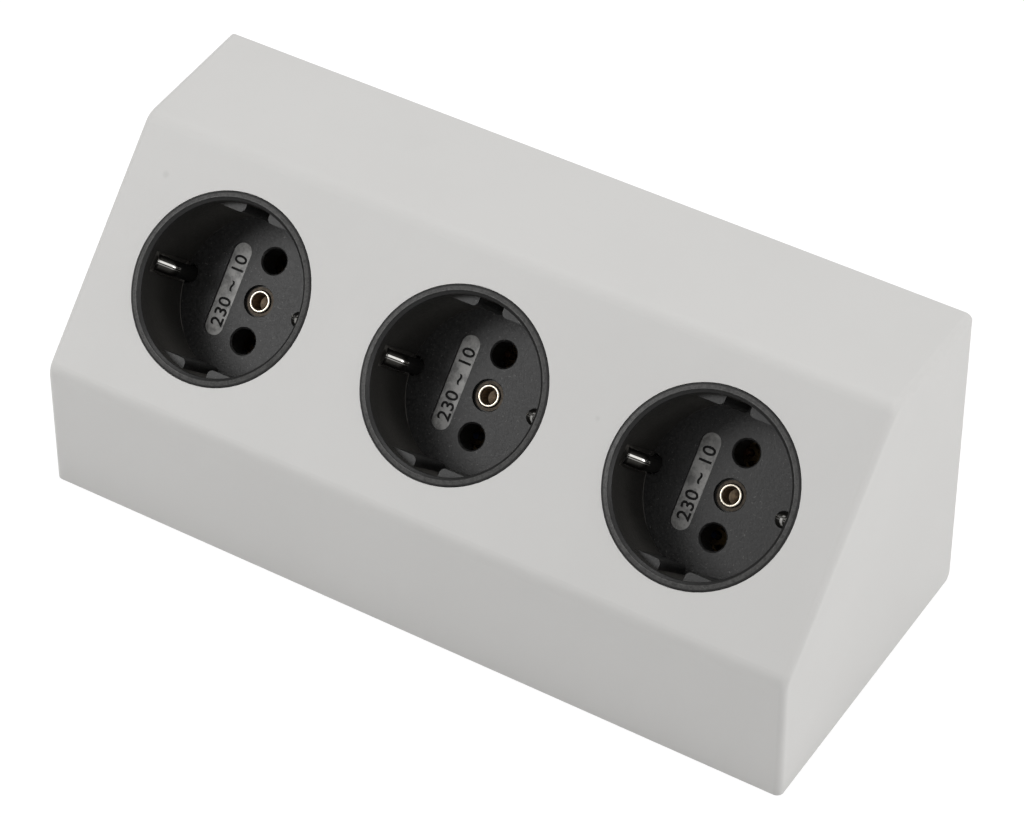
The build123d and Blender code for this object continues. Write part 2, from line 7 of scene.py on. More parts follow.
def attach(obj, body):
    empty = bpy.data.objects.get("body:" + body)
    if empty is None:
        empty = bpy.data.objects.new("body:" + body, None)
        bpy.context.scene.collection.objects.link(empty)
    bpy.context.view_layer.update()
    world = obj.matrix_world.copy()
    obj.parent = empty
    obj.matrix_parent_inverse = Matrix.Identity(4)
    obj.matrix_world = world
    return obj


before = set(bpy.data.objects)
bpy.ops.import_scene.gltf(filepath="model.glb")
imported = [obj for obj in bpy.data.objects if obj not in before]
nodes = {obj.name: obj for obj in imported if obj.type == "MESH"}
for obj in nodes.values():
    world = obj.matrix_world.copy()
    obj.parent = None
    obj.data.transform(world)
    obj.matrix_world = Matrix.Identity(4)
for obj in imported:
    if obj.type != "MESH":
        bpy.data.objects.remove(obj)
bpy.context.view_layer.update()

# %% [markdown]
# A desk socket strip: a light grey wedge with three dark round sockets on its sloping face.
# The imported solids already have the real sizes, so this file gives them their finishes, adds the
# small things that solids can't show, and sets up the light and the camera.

MM = 0.001

# %% [markdown]
# The sockets sit in a plane that leans back at 45 degrees. Every place on them is easier to give
# in that plane: u runs along the strip, v up the slope and w straight out of it. Places could also
# be given in world coordinates, but then each of them would need its own sums.

# %% The slope's own directions
SOCKET_NAMES = ["left", "middle", "right"]
SOCKET_PITCH = 59.3 * MM
LEAN = math.radians(45)
SLOPE_CENTRE = Vector((0, -16.217, 54.783)) * MM
ALONG = Vector((1, 0, 0))
UP_SLOPE = Vector((0, math.cos(LEAN), math.sin(LEAN)))
OUTWARD = Vector((0, -math.sin(LEAN), math.cos(LEAN)))


def socket_centre(index):
    """Middle of one socket's mouth, in the plane of the slope."""
    return SLOPE_CENTRE + ALONG * (index - 1) * SOCKET_PITCH


def slope_matrix(index, u, v, w):
    """Matrix that stands a piece on the slope at u, v, w from one socket's centre."""
    place = socket_centre(index) + ALONG * u + UP_SLOPE * v + OUTWARD * w
    turn = Matrix((ALONG, UP_SLOPE, OUTWARD)).transposed().to_4x4()
    return Matrix.Translation(place) @ turn


for index, name in enumerate(SOCKET_NAMES):
    print(name, "socket centre:", [round(v, 4) for v in socket_centre(index)])

# %% [markdown]
# The photograph was taken with a long lens from the right, the front and above. A camera in the
# same direction, at the same distance and with the same lens gives the same foreshortening. A
# wider lens from closer by would fill the frame as well, but the edges would draw together faster.

# %% Camera
CAMERA_PLACE = (0.31432, -0.51359, 0.59178)
CAMERA_TURN_DEGREES = (47.250, -0.106, 31.192)
SENSOR_WIDTH = 36
FOCAL_LENGTH = 133.25
NEAREST_SEEN = 0.05
FARTHEST_SEEN = 20
camera_data = bpy.data.cameras.new("photo_camera")
camera_data.sensor_width = SENSOR_WIDTH
camera_data.lens = FOCAL_LENGTH
camera_data.clip_start = NEAREST_SEEN
camera_data.clip_end = FARTHEST_SEEN
camera = bpy.data.objects.new("photo_camera", camera_data)
bpy.context.scene.collection.objects.link(camera)
camera.location = CAMERA_PLACE
camera.rotation_euler = [math.radians(angle) for angle in CAMERA_TURN_DEGREES]
bpy.context.scene.camera = camera
print("camera at", [round(v, 3) for v in camera.location], "lens", camera_data.lens)

# %% [markdown]
# A finish is a small network of shader nodes. It could be joined up by hand in the shader editor,
# but here it is written, so that it can be read and changed line by line. These helpers keep each
# line short: one starts a finish, one adds a node and sets its inputs, and one does arithmetic.


# %% Helpers for nodes
def new_finish(name):
    """Empty material with its output and a Principled shader joined to it."""
    finish = bpy.data.materials.new(name)
    finish.use_nodes = True
    tree = finish.node_tree
    tree.nodes.clear()
    output = tree.nodes.new("ShaderNodeOutputMaterial")
    shader = tree.nodes.new("ShaderNodeBsdfPrincipled")
    tree.links.new(shader.outputs[0], output.inputs[0])
    return finish, tree, shader


def set_input(tree, socket, value):
    """Give an input a number or colour, or join it to a socket of another node."""
    if isinstance(value, bpy.types.NodeSocket):
        tree.links.new(value, socket)
    elif socket.type == "RGBA" and len(value) == 3:
        socket.default_value = (*value, 1.0)
    else:
        socket.default_value = value


def add(tree, kind, settings=None, **inputs):
    """Add a node and set its inputs by name; i0 means its first input and i1 its second."""
    node = tree.nodes.new(kind)
    for key, value in (settings or {}).items():
        setattr(node, key, value)
    for key, value in inputs.items():
        number = key[1:]
        set_input(tree, node.inputs[int(number) if number.isdigit() else key], value)
    return node


def compute(tree, operation, first, second=0.0, third=0.0):
    """One step of arithmetic on values."""
    node = add(tree, "ShaderNodeMath", {"operation": operation}, i0=first, i1=second, i2=third)
    return node.outputs[0]


def times(tree, first, second):
    """Product of two values."""
    return compute(tree, "MULTIPLY", first, second)


print("node helpers: new_finish, set_input, add, compute, times")

# %% [markdown]
# Most of a finish is made of the same few steps: a noise texture, a soft step that turns it into
# patches, a blend of two colours and a bump. The noise reads object coordinates in millimetres, so
# the size of a grain can be read straight from the script and stays with the piece.


# %% Helpers for patterns
def millimetres(tree):
    """Object coordinates in millimetres."""
    place = tree.nodes.new("ShaderNodeTexCoord").outputs["Object"]
    node = add(tree, "ShaderNodeVectorMath", {"operation": "SCALE"}, Vector=place, Scale=1 / MM)
    return node.outputs[0]


def step_range(tree, value, low, high, out_low=0.0, out_high=1.0):
    """Value eased from out_low to out_high as it goes from low to high."""
    node = add(tree, "ShaderNodeMapRange", {"interpolation_type": "SMOOTHSTEP"}, Value=value)
    for key, number in (("From Min", low), ("From Max", high), ("To Min", out_low), ("To Max", out_high)):
        node.inputs[key].default_value = number
    return node.outputs[0]


def close_to(tree, value, middle, inner, outer, peak=1.0):
    """Peak while the value is within inner of the middle, eased to nothing at outer."""
    away = compute(tree, "ABSOLUTE", compute(tree, "SUBTRACT", value, middle))
    return step_range(tree, away, inner, outer, peak, 0.0)


def noise(tree, place, scale, detail=3.0, roughness=0.55):
    """Value of a noise texture; scale is in features per millimetre."""
    node = add(tree, "ShaderNodeTexNoise", Vector=place, Scale=scale, Detail=detail, Roughness=roughness)
    return node.outputs["Fac"]


def blend_colour(tree, factor, first, second):
    """Colour between two colours or colour sockets."""
    node = add(tree, "ShaderNodeMix", {"data_type": "RGBA"}, i0=factor, i6=first, i7=second)
    return node.outputs[2]


def two_tone(tree, pattern, light, dark, low=0.3, high=0.7):
    """Light colour where the pattern is under low, dark where it is over high."""
    return blend_colour(tree, step_range(tree, pattern, low, high), light, dark)


print("pattern helpers: millimetres, step_range, close_to, noise, blend_colour, two_tone")

# %% [markdown]
# A finished network is joined to the shader and given to its nodes. The solids keep their own
# meshes, so a finish only has to replace the material in the first slot.


# %% Helpers for joining a finish
def join_looks(tree, shader, colour, roughness):
    """Join a colour and a roughness to the shader."""
    tree.links.new(colour, shader.inputs["Base Color"])
    tree.links.new(roughness, shader.inputs["Roughness"])


def bump(tree, shader, height, distance, strength):
    """Join a height, given as a share of distance in metres, to the shader's normal."""
    node = add(tree, "ShaderNodeBump", Height=height, Distance=distance, Strength=strength)
    tree.links.new(node.outputs[0], shader.inputs["Normal"])


def dress(names, finish):
    """Give these nodes one finish."""
    for name in names:
        mesh = nodes[name].data
        mesh.materials.clear()
        mesh.materials.append(finish)
    print(finish.name, "on", len(names), "nodes")


print("nodes to dress:", len(nodes))

# %% [markdown]
# The housing is one moulding in a matt light grey plastic. Its surface comes from a spark-eroded
# mould: a very fine even grain, too small to see as dots but enough to spread every highlight.
# One plain colour would look like paint on a drawn plane, so larger soft swings in tone stand for
# how the moulding takes up light, and low, wide bumps keep its faces from being quite flat.
# Handling leaves a few faint smudges, and there are two small marks on the slope. Each mark is
# given by its place along and up the slope, its radius in millimetres and its strength.

# %% Housing plastic
HOUSING_COLOUR = (0.666, 0.659, 0.645)
HOUSING_DARKER = (0.628, 0.621, 0.607)
HOUSING_MARK = (0.45, 0.445, 0.43)
HOUSING_SWING_SCALE = 0.02
HOUSING_SMUDGE_SCALE = 0.06
HOUSING_GRAIN_SCALE = 3.2
SWING_SHARE = 0.35
SMUDGE_SHARE = 0.25
GRAIN_SHARE = 0.06
HOUSING_RELIEF = 0.00001
SMALL_MARKS = ((-81.9, 18.6, 1.15, 0.3), (32.9, 5.0, 0.85, 0.24))
housing_finish, tree, shader = new_finish("housing_plastic")
place = millimetres(tree)
broad = noise(tree, place, HOUSING_SWING_SCALE, 4.0, 0.6)
fine = noise(tree, place, HOUSING_GRAIN_SCALE, 2.0, 0.5)
smudge = step_range(tree, noise(tree, place, HOUSING_SMUDGE_SCALE, 5.0, 0.62), 0.60, 0.74)
tone = times(tree, step_range(tree, broad, 0.35, 0.65), SWING_SHARE)
tone = compute(tree, "MULTIPLY_ADD", smudge, SMUDGE_SHARE, tone)
colour = blend_colour(tree, tone, HOUSING_COLOUR, HOUSING_DARKER)
colour = blend_colour(tree, times(tree, fine, GRAIN_SHARE), colour, HOUSING_MARK)
for along, up, radius, strength in SMALL_MARKS:
    spot = (SLOPE_CENTRE + ALONG * along * MM + UP_SLOPE * up * MM) / MM
    away = add(tree, "ShaderNodeVectorMath", {"operation": "DISTANCE"}, i0=place, i1=spot)
    mark = step_range(tree, away.outputs["Value"], 0.2 * radius, radius, strength, 0.0)
    colour = blend_colour(tree, mark, colour, HOUSING_MARK)
rough = step_range(tree, smudge, 0.0, 1.0, 0.56, 0.51)
join_looks(tree, shader, colour, compute(tree, "MULTIPLY_ADD", fine, 0.05, rough))
bump(tree, shader, compute(tree, "MULTIPLY_ADD", broad, 6.0, fine), HOUSING_RELIEF, 0.6)
dress(["housing"], housing_finish)

# %% [markdown]
# The cover at the back and the bottom is the same plastic but is seen only from behind. Such hidden
# covers usually come from a rougher mould, so it gets its own finish with a coarser grain instead
# of sharing the housing's.

# %% Cover plastic
COVER_COLOUR = (0.56, 0.553, 0.535)
COVER_DARKER = (0.525, 0.518, 0.5)
COVER_SWING_SCALE = 0.03
COVER_GRAIN_SCALE = 1.6
COVER_RELIEF = 0.00003
cover_finish, tree, shader = new_finish("cover_plastic")
place = millimetres(tree)
fine = noise(tree, place, COVER_GRAIN_SCALE, 3.0, 0.6)
broad = noise(tree, place, COVER_SWING_SCALE, 3.0, 0.5)
colour = two_tone(tree, broad, COVER_COLOUR, COVER_DARKER)
join_looks(tree, shader, colour, step_range(tree, fine, 0.2, 0.8, 0.55, 0.7))
bump(tree, shader, fine, COVER_RELIEF, 0.7)
dress(["base_bracket"], cover_finish)

# %% [markdown]
# The finishes inside the sockets change from place to place, so their shaders need to know where
# they are in a socket. Each socket could have materials of its own, but one finish serves all
# three: the coordinates are turned into the slope's own plane and folded over by the pitch, so u
# is always measured from the nearest socket.


# %% Coordinates of the slope for shaders
def slope_coordinates(tree):
    """u, v and w in millimetres from the nearest socket's centre."""
    place = tree.nodes.new("ShaderNodeTexCoord").outputs["Object"]
    moved = add(tree, "ShaderNodeVectorMath", {"operation": "SUBTRACT"}, i0=place, i1=SLOPE_CENTRE)
    scaled = add(tree, "ShaderNodeVectorMath", {"operation": "SCALE"}, Vector=moved.outputs[0], Scale=1 / MM)
    turned = add(tree, "ShaderNodeMapping", Vector=scaled.outputs[0])
    turned.inputs["Rotation"].default_value = (-LEAN, 0, 0)
    split = add(tree, "ShaderNodeSeparateXYZ", Vector=turned.outputs[0])
    pitch = SOCKET_PITCH / MM
    shifted = compute(tree, "ADD", split.outputs[0], 1.5 * pitch)
    folded = compute(tree, "FLOORED_MODULO", shifted, pitch)
    return compute(tree, "SUBTRACT", folded, 0.5 * pitch), split.outputs[1], split.outputs[2]


def length_of(tree, across, along):
    """Length of the line that goes this far across and along."""
    square = compute(tree, "MULTIPLY_ADD", along, along, times(tree, across, across))
    return compute(tree, "SQRT", square)


print("socket pitch:", round(SOCKET_PITCH / MM, 2), "mm")

# %% [markdown]
# Each socket cup is one charcoal moulding, but its parts look different. The parts could be cut
# into separate pieces, but the real cup has no seams, so the finish finds them by their place: the
# sunk field by its distance from its own middle line, and the wall, the lip, the ring and the
# ring's outer edge by their height and their distance from the socket's axis. A thin pale line at
# the foot of the left wall is a painted highlight. All the sizes are in millimetres.

# %% Parts of the cup
CUP_FLOOR = -19.4
FIELD_U = -8.2
FIELD_HALF_LENGTH = 8.65
FIELD_HALF_WIDTH = 2.35
WALL_RADIUS = 19.15
RING_RADIUS = 20.0
RING_EDGE_RADIUS = 20.95
LIP_HEIGHT = -0.8
FOOT_GLINT_V = -7.0
cup_finish, tree, shader = new_finish("cup_plastic")
u, v, w = slope_coordinates(tree)
beyond_end = compute(tree, "SUBTRACT", compute(tree, "ABSOLUTE", v), FIELD_HALF_LENGTH)
beyond_end = compute(tree, "MAXIMUM", beyond_end, 0.0)
to_spine = length_of(tree, beyond_end, compute(tree, "SUBTRACT", u, FIELD_U))
in_outline = step_range(tree, to_spine, FIELD_HALF_WIDTH - 0.25, FIELD_HALF_WIDTH - 0.05, 1.0, 0.0)
field = times(tree, in_outline, step_range(tree, w, CUP_FLOOR - 0.3, CUP_FLOOR - 0.2, 1.0, 0.0))
from_axis = length_of(tree, u, v)
past_wall = step_range(tree, from_axis, WALL_RADIUS, WALL_RADIUS + 0.15)
at_wall = times(tree, step_range(tree, w, -1.2, -0.4, 1.0, 0.0), past_wall)
within_ring = step_range(tree, from_axis, RING_RADIUS - 0.05, RING_RADIUS + 0.15, 1.0, 0.0)
# painted shade: the inner lip of the ring
lip_shade = times(tree, step_range(tree, w, LIP_HEIGHT, LIP_HEIGHT + 0.3), within_ring)
above_lip = step_range(tree, w, LIP_HEIGHT, LIP_HEIGHT + 0.4)
on_ring = times(tree, above_lip, step_range(tree, from_axis, RING_RADIUS, RING_RADIUS + 0.2))
# painted shade: the ring's outer edge
ring_edge = step_range(tree, from_axis, RING_EDGE_RADIUS, RING_EDGE_RADIUS + 0.2)
ring_edge = times(tree, ring_edge, above_lip)
# painted highlight: a thin pale line along the foot of the wall, a little below the middle
foot_glint = step_range(tree, w, CUP_FLOOR + 0.12, CUP_FLOOR + 0.2, 1.0, 0.0)
foot_glint = times(tree, foot_glint, step_range(tree, from_axis, WALL_RADIUS, WALL_RADIUS + 0.1))
foot_glint = times(tree, foot_glint, close_to(tree, v, FOOT_GLINT_V, 4.0, 6.5, 0.8))
print("sunk field:", 2 * (FIELD_HALF_LENGTH + FIELD_HALF_WIDTH), "by", 2 * FIELD_HALF_WIDTH, "mm")

# %% [markdown]
# The floor of the cup carries a fine speckle and a little dust. The wall is painted paler with its
# depth, painted light that lifts the shade deep in the cup, and its grooves get painted light too.
# Colours are laid over each other in the order in which the real layers lie.

# %% Colours of the cup
CUP_COLOUR = (0.012, 0.0118, 0.0115)
CUP_LIGHTER = (0.038, 0.0375, 0.037)
CUP_DARKER_AND_SHADE = (0.009, 0.0088, 0.0085)
CUP_SPECK = (0.085, 0.083, 0.080)
CUP_DUST = (0.12, 0.117, 0.113)
WALL_COLOUR = (0.020, 0.0192, 0.0178)
WALL_DEEP_FILL_LIGHT = (0.058, 0.0550, 0.0505)
GROOVE_FILL_LIGHT = (0.200, 0.190, 0.175)
FILL_START_W = -1.5
FILL_FULL_W = -11.0
GROOVE_RADIUS = 19.7
SPECKLE_SCALE = 1.5
DUST_SCALE = 1.9
CLOUD_SCALE = 0.12
place = millimetres(tree)
speckle = noise(tree, place, SPECKLE_SCALE, 5.0, 0.72)
dust = step_range(tree, noise(tree, place, DUST_SCALE, 1.0, 0.5), 0.70, 0.74)
cloud = noise(tree, place, CLOUD_SCALE, 3.0, 0.5)
colour = two_tone(tree, speckle, CUP_COLOUR, CUP_LIGHTER, 0.35, 0.65)
colour = two_tone(tree, speckle, colour, CUP_SPECK, 0.62, 0.70)
colour = blend_colour(tree, dust, colour, CUP_DUST)
# CUP_DARKER_AND_SHADE also gives random darker patches here
colour = blend_colour(tree, times(tree, step_range(tree, cloud, 0.3, 0.7), 0.25), colour, CUP_DARKER_AND_SHADE)
# painted light: the wall is painted paler with its depth, lifting the shade deep in the cup
deep_down = step_range(tree, w, FILL_FULL_W, FILL_START_W, 1.0, 0.0)
wall = blend_colour(tree, deep_down, WALL_COLOUR, WALL_DEEP_FILL_LIGHT)
# painted light: the grooves in the wall are painted pale, lifting their shade
wall = two_tone(tree, from_axis, wall, GROOVE_FILL_LIGHT, GROOVE_RADIUS, GROOVE_RADIUS + 0.2)
colour = blend_colour(tree, at_wall, colour, wall)
print("cup speckle:", SPECKLE_SCALE, "features per mm")

# %% [markdown]
# The ring's crown is painted paler as a painted highlight, and its inner lip and outer edge are
# painted dark as painted shade. The sunk field has a polish, and its pale, mottled colour is a
# painted sheen. Polish makes plastic smooth, so the same parts also change the roughness and the
# height of the grain. The ring's outer edge is duller than the rest.

# %% Ring, field and gloss of the cup
RING_HIGHLIGHT = (0.072, 0.071, 0.069)
FOOT_GLINT_COLOUR = (0.30, 0.29, 0.27)
FIELD_SHEEN = (0.470, 0.462, 0.446)
FIELD_SHEEN_DARKER = (0.200, 0.196, 0.189)
FLECK_SCALE = 1.1
MOTTLE_SCALE = 0.35
CUP_RELIEF = 0.00009
CUP_SPECULAR = 0.28
flecks = step_range(tree, noise(tree, place, FLECK_SCALE, 4.0, 0.7), 0.35, 0.65, 0.35, 1.0)
# painted shade on the inner lip
colour = blend_colour(tree, lip_shade, colour, CUP_DARKER_AND_SHADE)
# painted highlight on the ring's crown, broken up by flecks
colour = blend_colour(tree, times(tree, on_ring, flecks), colour, RING_HIGHLIGHT)
# painted shade on the ring's outer edge
colour = blend_colour(tree, ring_edge, colour, CUP_DARKER_AND_SHADE)
# painted highlight at the foot of the wall
colour = blend_colour(tree, foot_glint, colour, FOOT_GLINT_COLOUR)
mottle = noise(tree, place, MOTTLE_SCALE, 4.0, 0.65)
# painted sheen: the field is painted pale and mottled
field_sheen = two_tone(tree, mottle, FIELD_SHEEN, FIELD_SHEEN_DARKER, 0.42, 0.66)
colour = blend_colour(tree, field, colour, field_sheen)
rough = step_range(tree, speckle, 0.3, 0.7, 0.36, 0.48)
for part, change in ((field, -0.08), (on_ring, -0.13), (ring_edge, 0.25)):
    rough = compute(tree, "MULTIPLY_ADD", part, change, rough)
join_looks(tree, shader, colour, rough)
shader.inputs["Specular IOR Level"].default_value = CUP_SPECULAR
flattened = compute(tree, "SUBTRACT", 1.0, times(tree, field, 0.8))
bump(tree, shader, times(tree, speckle, flattened), CUP_RELIEF, 0.7)
dress([f"socket_cup_{name}" for name in SOCKET_NAMES], cup_finish)

# %% [markdown]
# The earth arms are plated spring strip. Two narrow lines along the left arm's crest are painted
# highlights, bright and smooth, and a line across the right arm's end is a painted glint, while the
# rest of the metal is painted dark, a painted reflection of the dark cup. Plain bright metal would
# mirror the whole dark cup, so the painted highlights are what make the arms read as metal. A thin
# streaky noise, drawn out along the strip, gives the rolled look, and the roughness changes with it.

# %% Plated spring metal
SPRING_GLINT = ((0.84, 0.83, 0.80), (0.70, 0.685, 0.65))
SPRING_SHADED = ((0.042, 0.040, 0.037), (0.024, 0.023, 0.021))
STREAK_SCALES = (3.0, 9.0, 0.4)
MAIN_GLINT_V = 0.42
SIDE_GLINT_V = -0.16
GLINTS_END_W = -8.6
END_GLINT_V = -0.1
END_GLINT_W = -4.7
RIGHT_ARM_U = 12.0
SPRING_RELIEF = 0.00002
spring_finish, tree, shader = new_finish("plated_spring")
u, v, w = slope_coordinates(tree)
stretched = [times(tree, value, scale) for value, scale in zip((u, v, w), STREAK_SCALES)]
streak_place = add(tree, "ShaderNodeCombineXYZ", X=stretched[0], Y=stretched[1], Z=stretched[2])
streak = noise(tree, streak_place.outputs[0], 1.0, 4.0, 0.6)
# painted highlights: two lines along the left arm's crest
main_glint = close_to(tree, v, MAIN_GLINT_V, 0.17, 0.28)
side_glint = close_to(tree, v, SIDE_GLINT_V, 0.05, 0.13, 0.35)
glint_lines = compute(tree, "MAXIMUM", main_glint, side_glint)
glint_lines = times(tree, glint_lines, step_range(tree, w, GLINTS_END_W, GLINTS_END_W + 1.0))
# painted glint across the right arm's end
end_glint = times(tree, close_to(tree, v, END_GLINT_V, 0.9, 1.2), close_to(tree, w, END_GLINT_W, 0.18, 0.36))
end_glint = times(tree, end_glint, step_range(tree, u, RIGHT_ARM_U, RIGHT_ARM_U + 1.0))
bright = two_tone(tree, streak, *SPRING_GLINT)
# painted dark: a painted reflection of the dark cup on the rest of the metal
dull = two_tone(tree, streak, *SPRING_SHADED)
colour = blend_colour(tree, compute(tree, "MAXIMUM", glint_lines, end_glint), dull, bright)
rough = step_range(tree, glint_lines, 0.0, 1.0, 0.38, 0.2)
join_looks(tree, shader, colour, compute(tree, "MULTIPLY_ADD", streak, 0.08, rough))
shader.inputs["Metallic"].default_value = 1.0
bump(tree, shader, streak, SPRING_RELIEF, 0.5)
dress([f"earth_bracket_{name}" for name in SOCKET_NAMES], spring_finish)

# %% [markdown]
# The rivet in the middle has a bright rolled lip. Its bore shows the base metal, darker and
# brownish, and the flat collar round the lip is bronze, painted dark as painted shade in its
# counterbore. All are one piece, so the finish changes with the distance from its axis, at the
# lip's inner and outer edge.

# %% Rivet metal
RIVET_BRIGHT = ((0.62, 0.565, 0.475), (0.46, 0.415, 0.345))
RIVET_BROWN = ((0.30, 0.235, 0.165), (0.185, 0.145, 0.105))
RIVET_SHADED_BRONZE = ((0.036, 0.030, 0.024), (0.020, 0.017, 0.014))
LIP_INNER_RADIUS = 1.92
LIP_OUTER_RADIUS = 2.50
RIVET_WEAR_SCALE = 2.0
RIVET_RELIEF = 0.00003
rivet_finish, tree, shader = new_finish("rivet_metal")
u, v, w = slope_coordinates(tree)
from_axis = length_of(tree, u, v)
wear = noise(tree, millimetres(tree), RIVET_WEAR_SCALE, 4.0, 0.6)
plated = step_range(tree, from_axis, LIP_INNER_RADIUS, LIP_INNER_RADIUS + 0.16)
collar = step_range(tree, from_axis, LIP_OUTER_RADIUS, LIP_OUTER_RADIUS + 0.08)
bright = two_tone(tree, wear, *RIVET_BRIGHT)
brown = two_tone(tree, wear, *RIVET_BROWN, 0.35, 0.65)
# painted shade: the collar's bronze is painted dark
bronze = two_tone(tree, wear, *RIVET_SHADED_BRONZE, 0.35, 0.65)
colour = blend_colour(tree, collar, blend_colour(tree, plated, brown, bright), bronze)
rough = compute(tree, "MULTIPLY_ADD", plated, -0.14, 0.42)
join_looks(tree, shader, colour, compute(tree, "MULTIPLY_ADD", collar, 0.16, rough))
shader.inputs["Metallic"].default_value = 1.0
bump(tree, shader, wear, RIVET_RELIEF, 0.5)
dress([f"centre_rivet_{name}" for name in SOCKET_NAMES], rivet_finish)

# %% [markdown]
# What lies behind the cups is hardly seen: brass contacts glint in the pin holes, and the carrier
# and the wires show only when the cover is off. The brass is painted dark as painted shade deep in
# the pin holes, and the rest get the finish that each really has, all from one function that varies
# the tone and the gloss with the same noise.


# %% Metals and plastics inside
def uneven_finish(name, light, dark, smooth, dull, grain_scale, metal=False):
    """Finish with uneven tone and gloss; a metal's grain has more detail and less relief."""
    finish, tree, shader = new_finish(name)
    tone = noise(tree, millimetres(tree), grain_scale, 4.0 if metal else 3.0, 0.6)
    rough = step_range(tree, tone, 0.3, 0.7, smooth, dull)
    join_looks(tree, shader, two_tone(tree, tone, light, dark), rough)
    if metal:
        shader.inputs["Metallic"].default_value = 1.0
        bump(tree, shader, tone, 0.00002, 0.5)
    else:
        bump(tree, shader, tone, 0.00003, 0.6)
    return finish


contact_names = [f"{pole}_contact_{name}" for pole in ("line", "neutral") for name in SOCKET_NAMES]
carrier_names = [f"contact_carrier_{name}" for name in SOCKET_NAMES]
# painted shade: the brass is painted dark for the deep pin holes
SHADED_BRASS = ((0.13, 0.09, 0.042), (0.08, 0.055, 0.026))
ZINC = ((0.66, 0.67, 0.68), (0.52, 0.53, 0.55))
CARRIER_GREY = ((0.33, 0.33, 0.32), (0.27, 0.27, 0.26))
RUBBER_BLACK = ((0.034, 0.034, 0.035), (0.022, 0.022, 0.023))
brass = uneven_finish("contact_brass", *SHADED_BRASS, smooth=0.45, dull=0.6, grain_scale=1.5, metal=True)
zinc = uneven_finish("screw_zinc", *ZINC, smooth=0.24, dull=0.4, grain_scale=2.5, metal=True)
grey_plastic = uneven_finish("carrier_plastic", *CARRIER_GREY, smooth=0.45, dull=0.6, grain_scale=1.4)
rubber = uneven_finish("grommet_rubber", *RUBBER_BLACK, smooth=0.5, dull=0.68, grain_scale=1.8)
dress(contact_names, brass)
dress(["cover_screws"], zinc)
dress(carrier_names, grey_plastic)
dress(["cable_grommet"], rubber)

# %% [markdown]
# The wires that join the sockets have the usual three colours: brown for the line, blue for the
# neutral and green with a yellow stripe for the earth. The stripe follows a sine of the place
# across the wire, so no picture and no unwrapped mesh is needed.

# %% Wire insulation
LINE_BROWN = ((0.20, 0.085, 0.035), (0.15, 0.06, 0.025))
NEUTRAL_BLUE = ((0.012, 0.036, 0.13), (0.009, 0.027, 0.10))
EARTH_GREEN = (0.06, 0.26, 0.045)
EARTH_YELLOW = (0.62, 0.55, 0.04)
STRIPE_RATE = 1.1
wire_sides = SOCKET_NAMES[:-1]
for pole, tones in (("line", LINE_BROWN), ("neutral", NEUTRAL_BLUE)):
    insulation = uneven_finish(f"{pole}_insulation", *tones, smooth=0.35, dull=0.45, grain_scale=2.0)
    dress([f"{pole}_jumper_{name}" for name in wire_sides], insulation)
earth_finish, tree, shader = new_finish("earth_insulation")
place = millimetres(tree)
split = add(tree, "ShaderNodeSeparateXYZ", Vector=place)
wave = compute(tree, "SINE", times(tree, split.outputs[1], STRIPE_RATE))
colour = two_tone(tree, wave, EARTH_GREEN, EARTH_YELLOW, -0.15, 0.0)
join_looks(tree, shader, colour, step_range(tree, noise(tree, place, 2.0), 0.3, 0.7, 0.35, 0.45))
dress([f"earth_jumper_{name}" for name in wire_sides], earth_finish)

# %% [markdown]
# The polished field of each socket carries its rating as small raised figures. Here they are plain
# numbers with a wave between them. On the real part they are cut into the mould, so they stand a
# tenth of a millimetre proud and have soft edges. They could be a bump in the finish, but a text
# object with a little thickness and bevel gives real edges; it is made a mesh before it is sized.

# %% Shape of the figures
FIGURES = "230 ~ 10"
FIGURE_HEIGHT = 3.05 * MM
FIGURE_LENGTH = 16.6 * MM
TEXT_SIZE = 3.9 * MM
LETTER_SPACING = 1.06
HALF_THICKNESS = 0.05 * MM
STROKE_GROWTH = 0.02 * MM
EDGE_BEVEL = 0.025 * MM
CURVE_STEPS = 6
bpy.ops.object.select_all(action="DESELECT")
bpy.ops.object.text_add(location=(0, 0, 0))
text = bpy.context.object
text.data.body = FIGURES
text.data.align_x = "CENTER"
text.data.align_y = "CENTER"
text.data.size = TEXT_SIZE
text.data.space_character = LETTER_SPACING
text.data.extrude = HALF_THICKNESS
text.data.offset = STROKE_GROWTH
text.data.bevel_depth = EDGE_BEVEL
text.data.resolution_u = CURVE_STEPS
bpy.ops.object.convert(target="MESH")
figures = bpy.context.object
low = [min(vertex.co[axis] for vertex in figures.data.vertices) for axis in range(3)]
high = [max(vertex.co[axis] for vertex in figures.data.vertices) for axis in range(3)]
print("figures are", [round((b - a) / MM, 2) for a, b in zip(low, high)], "mm before they are sized")

# %% [markdown]
# The figures are read from below the field upwards, so the mesh is centred, stretched to its size,
# turned by a quarter and then stood on the slope. Each socket gets a copy with a mesh of its own,
# and applying its place leaves the object at the origin, like the solids.

# %% Finish and place of the figures
FIGURE_U = -8.0 * MM
FIGURE_V = -0.3 * MM
FIELD_DEPTH = 0.4 * MM
FIGURE_RISE = 0.04 * MM
FIGURE_W = CUP_FLOOR * MM - FIELD_DEPTH + FIGURE_RISE
FIGURE_DARK = ((0.007, 0.0068, 0.0065), (0.004, 0.004, 0.004))
FIGURE_SPECULAR = 0.15
middle = Matrix.Translation([-(a + b) / 2 for a, b in zip(low, high)])
stretch = Matrix.Diagonal((FIGURE_LENGTH / (high[0] - low[0]), FIGURE_HEIGHT / (high[1] - low[1]), 1.0, 1.0))
reading_up = Matrix.Rotation(math.radians(90), 4, "Z")
figures_finish = uneven_finish("figures_plastic", *FIGURE_DARK, smooth=0.55, dull=0.7, grain_scale=2.4)
figures_shader = figures_finish.node_tree.nodes["Principled BSDF"]
figures_shader.inputs["Specular IOR Level"].default_value = FIGURE_SPECULAR
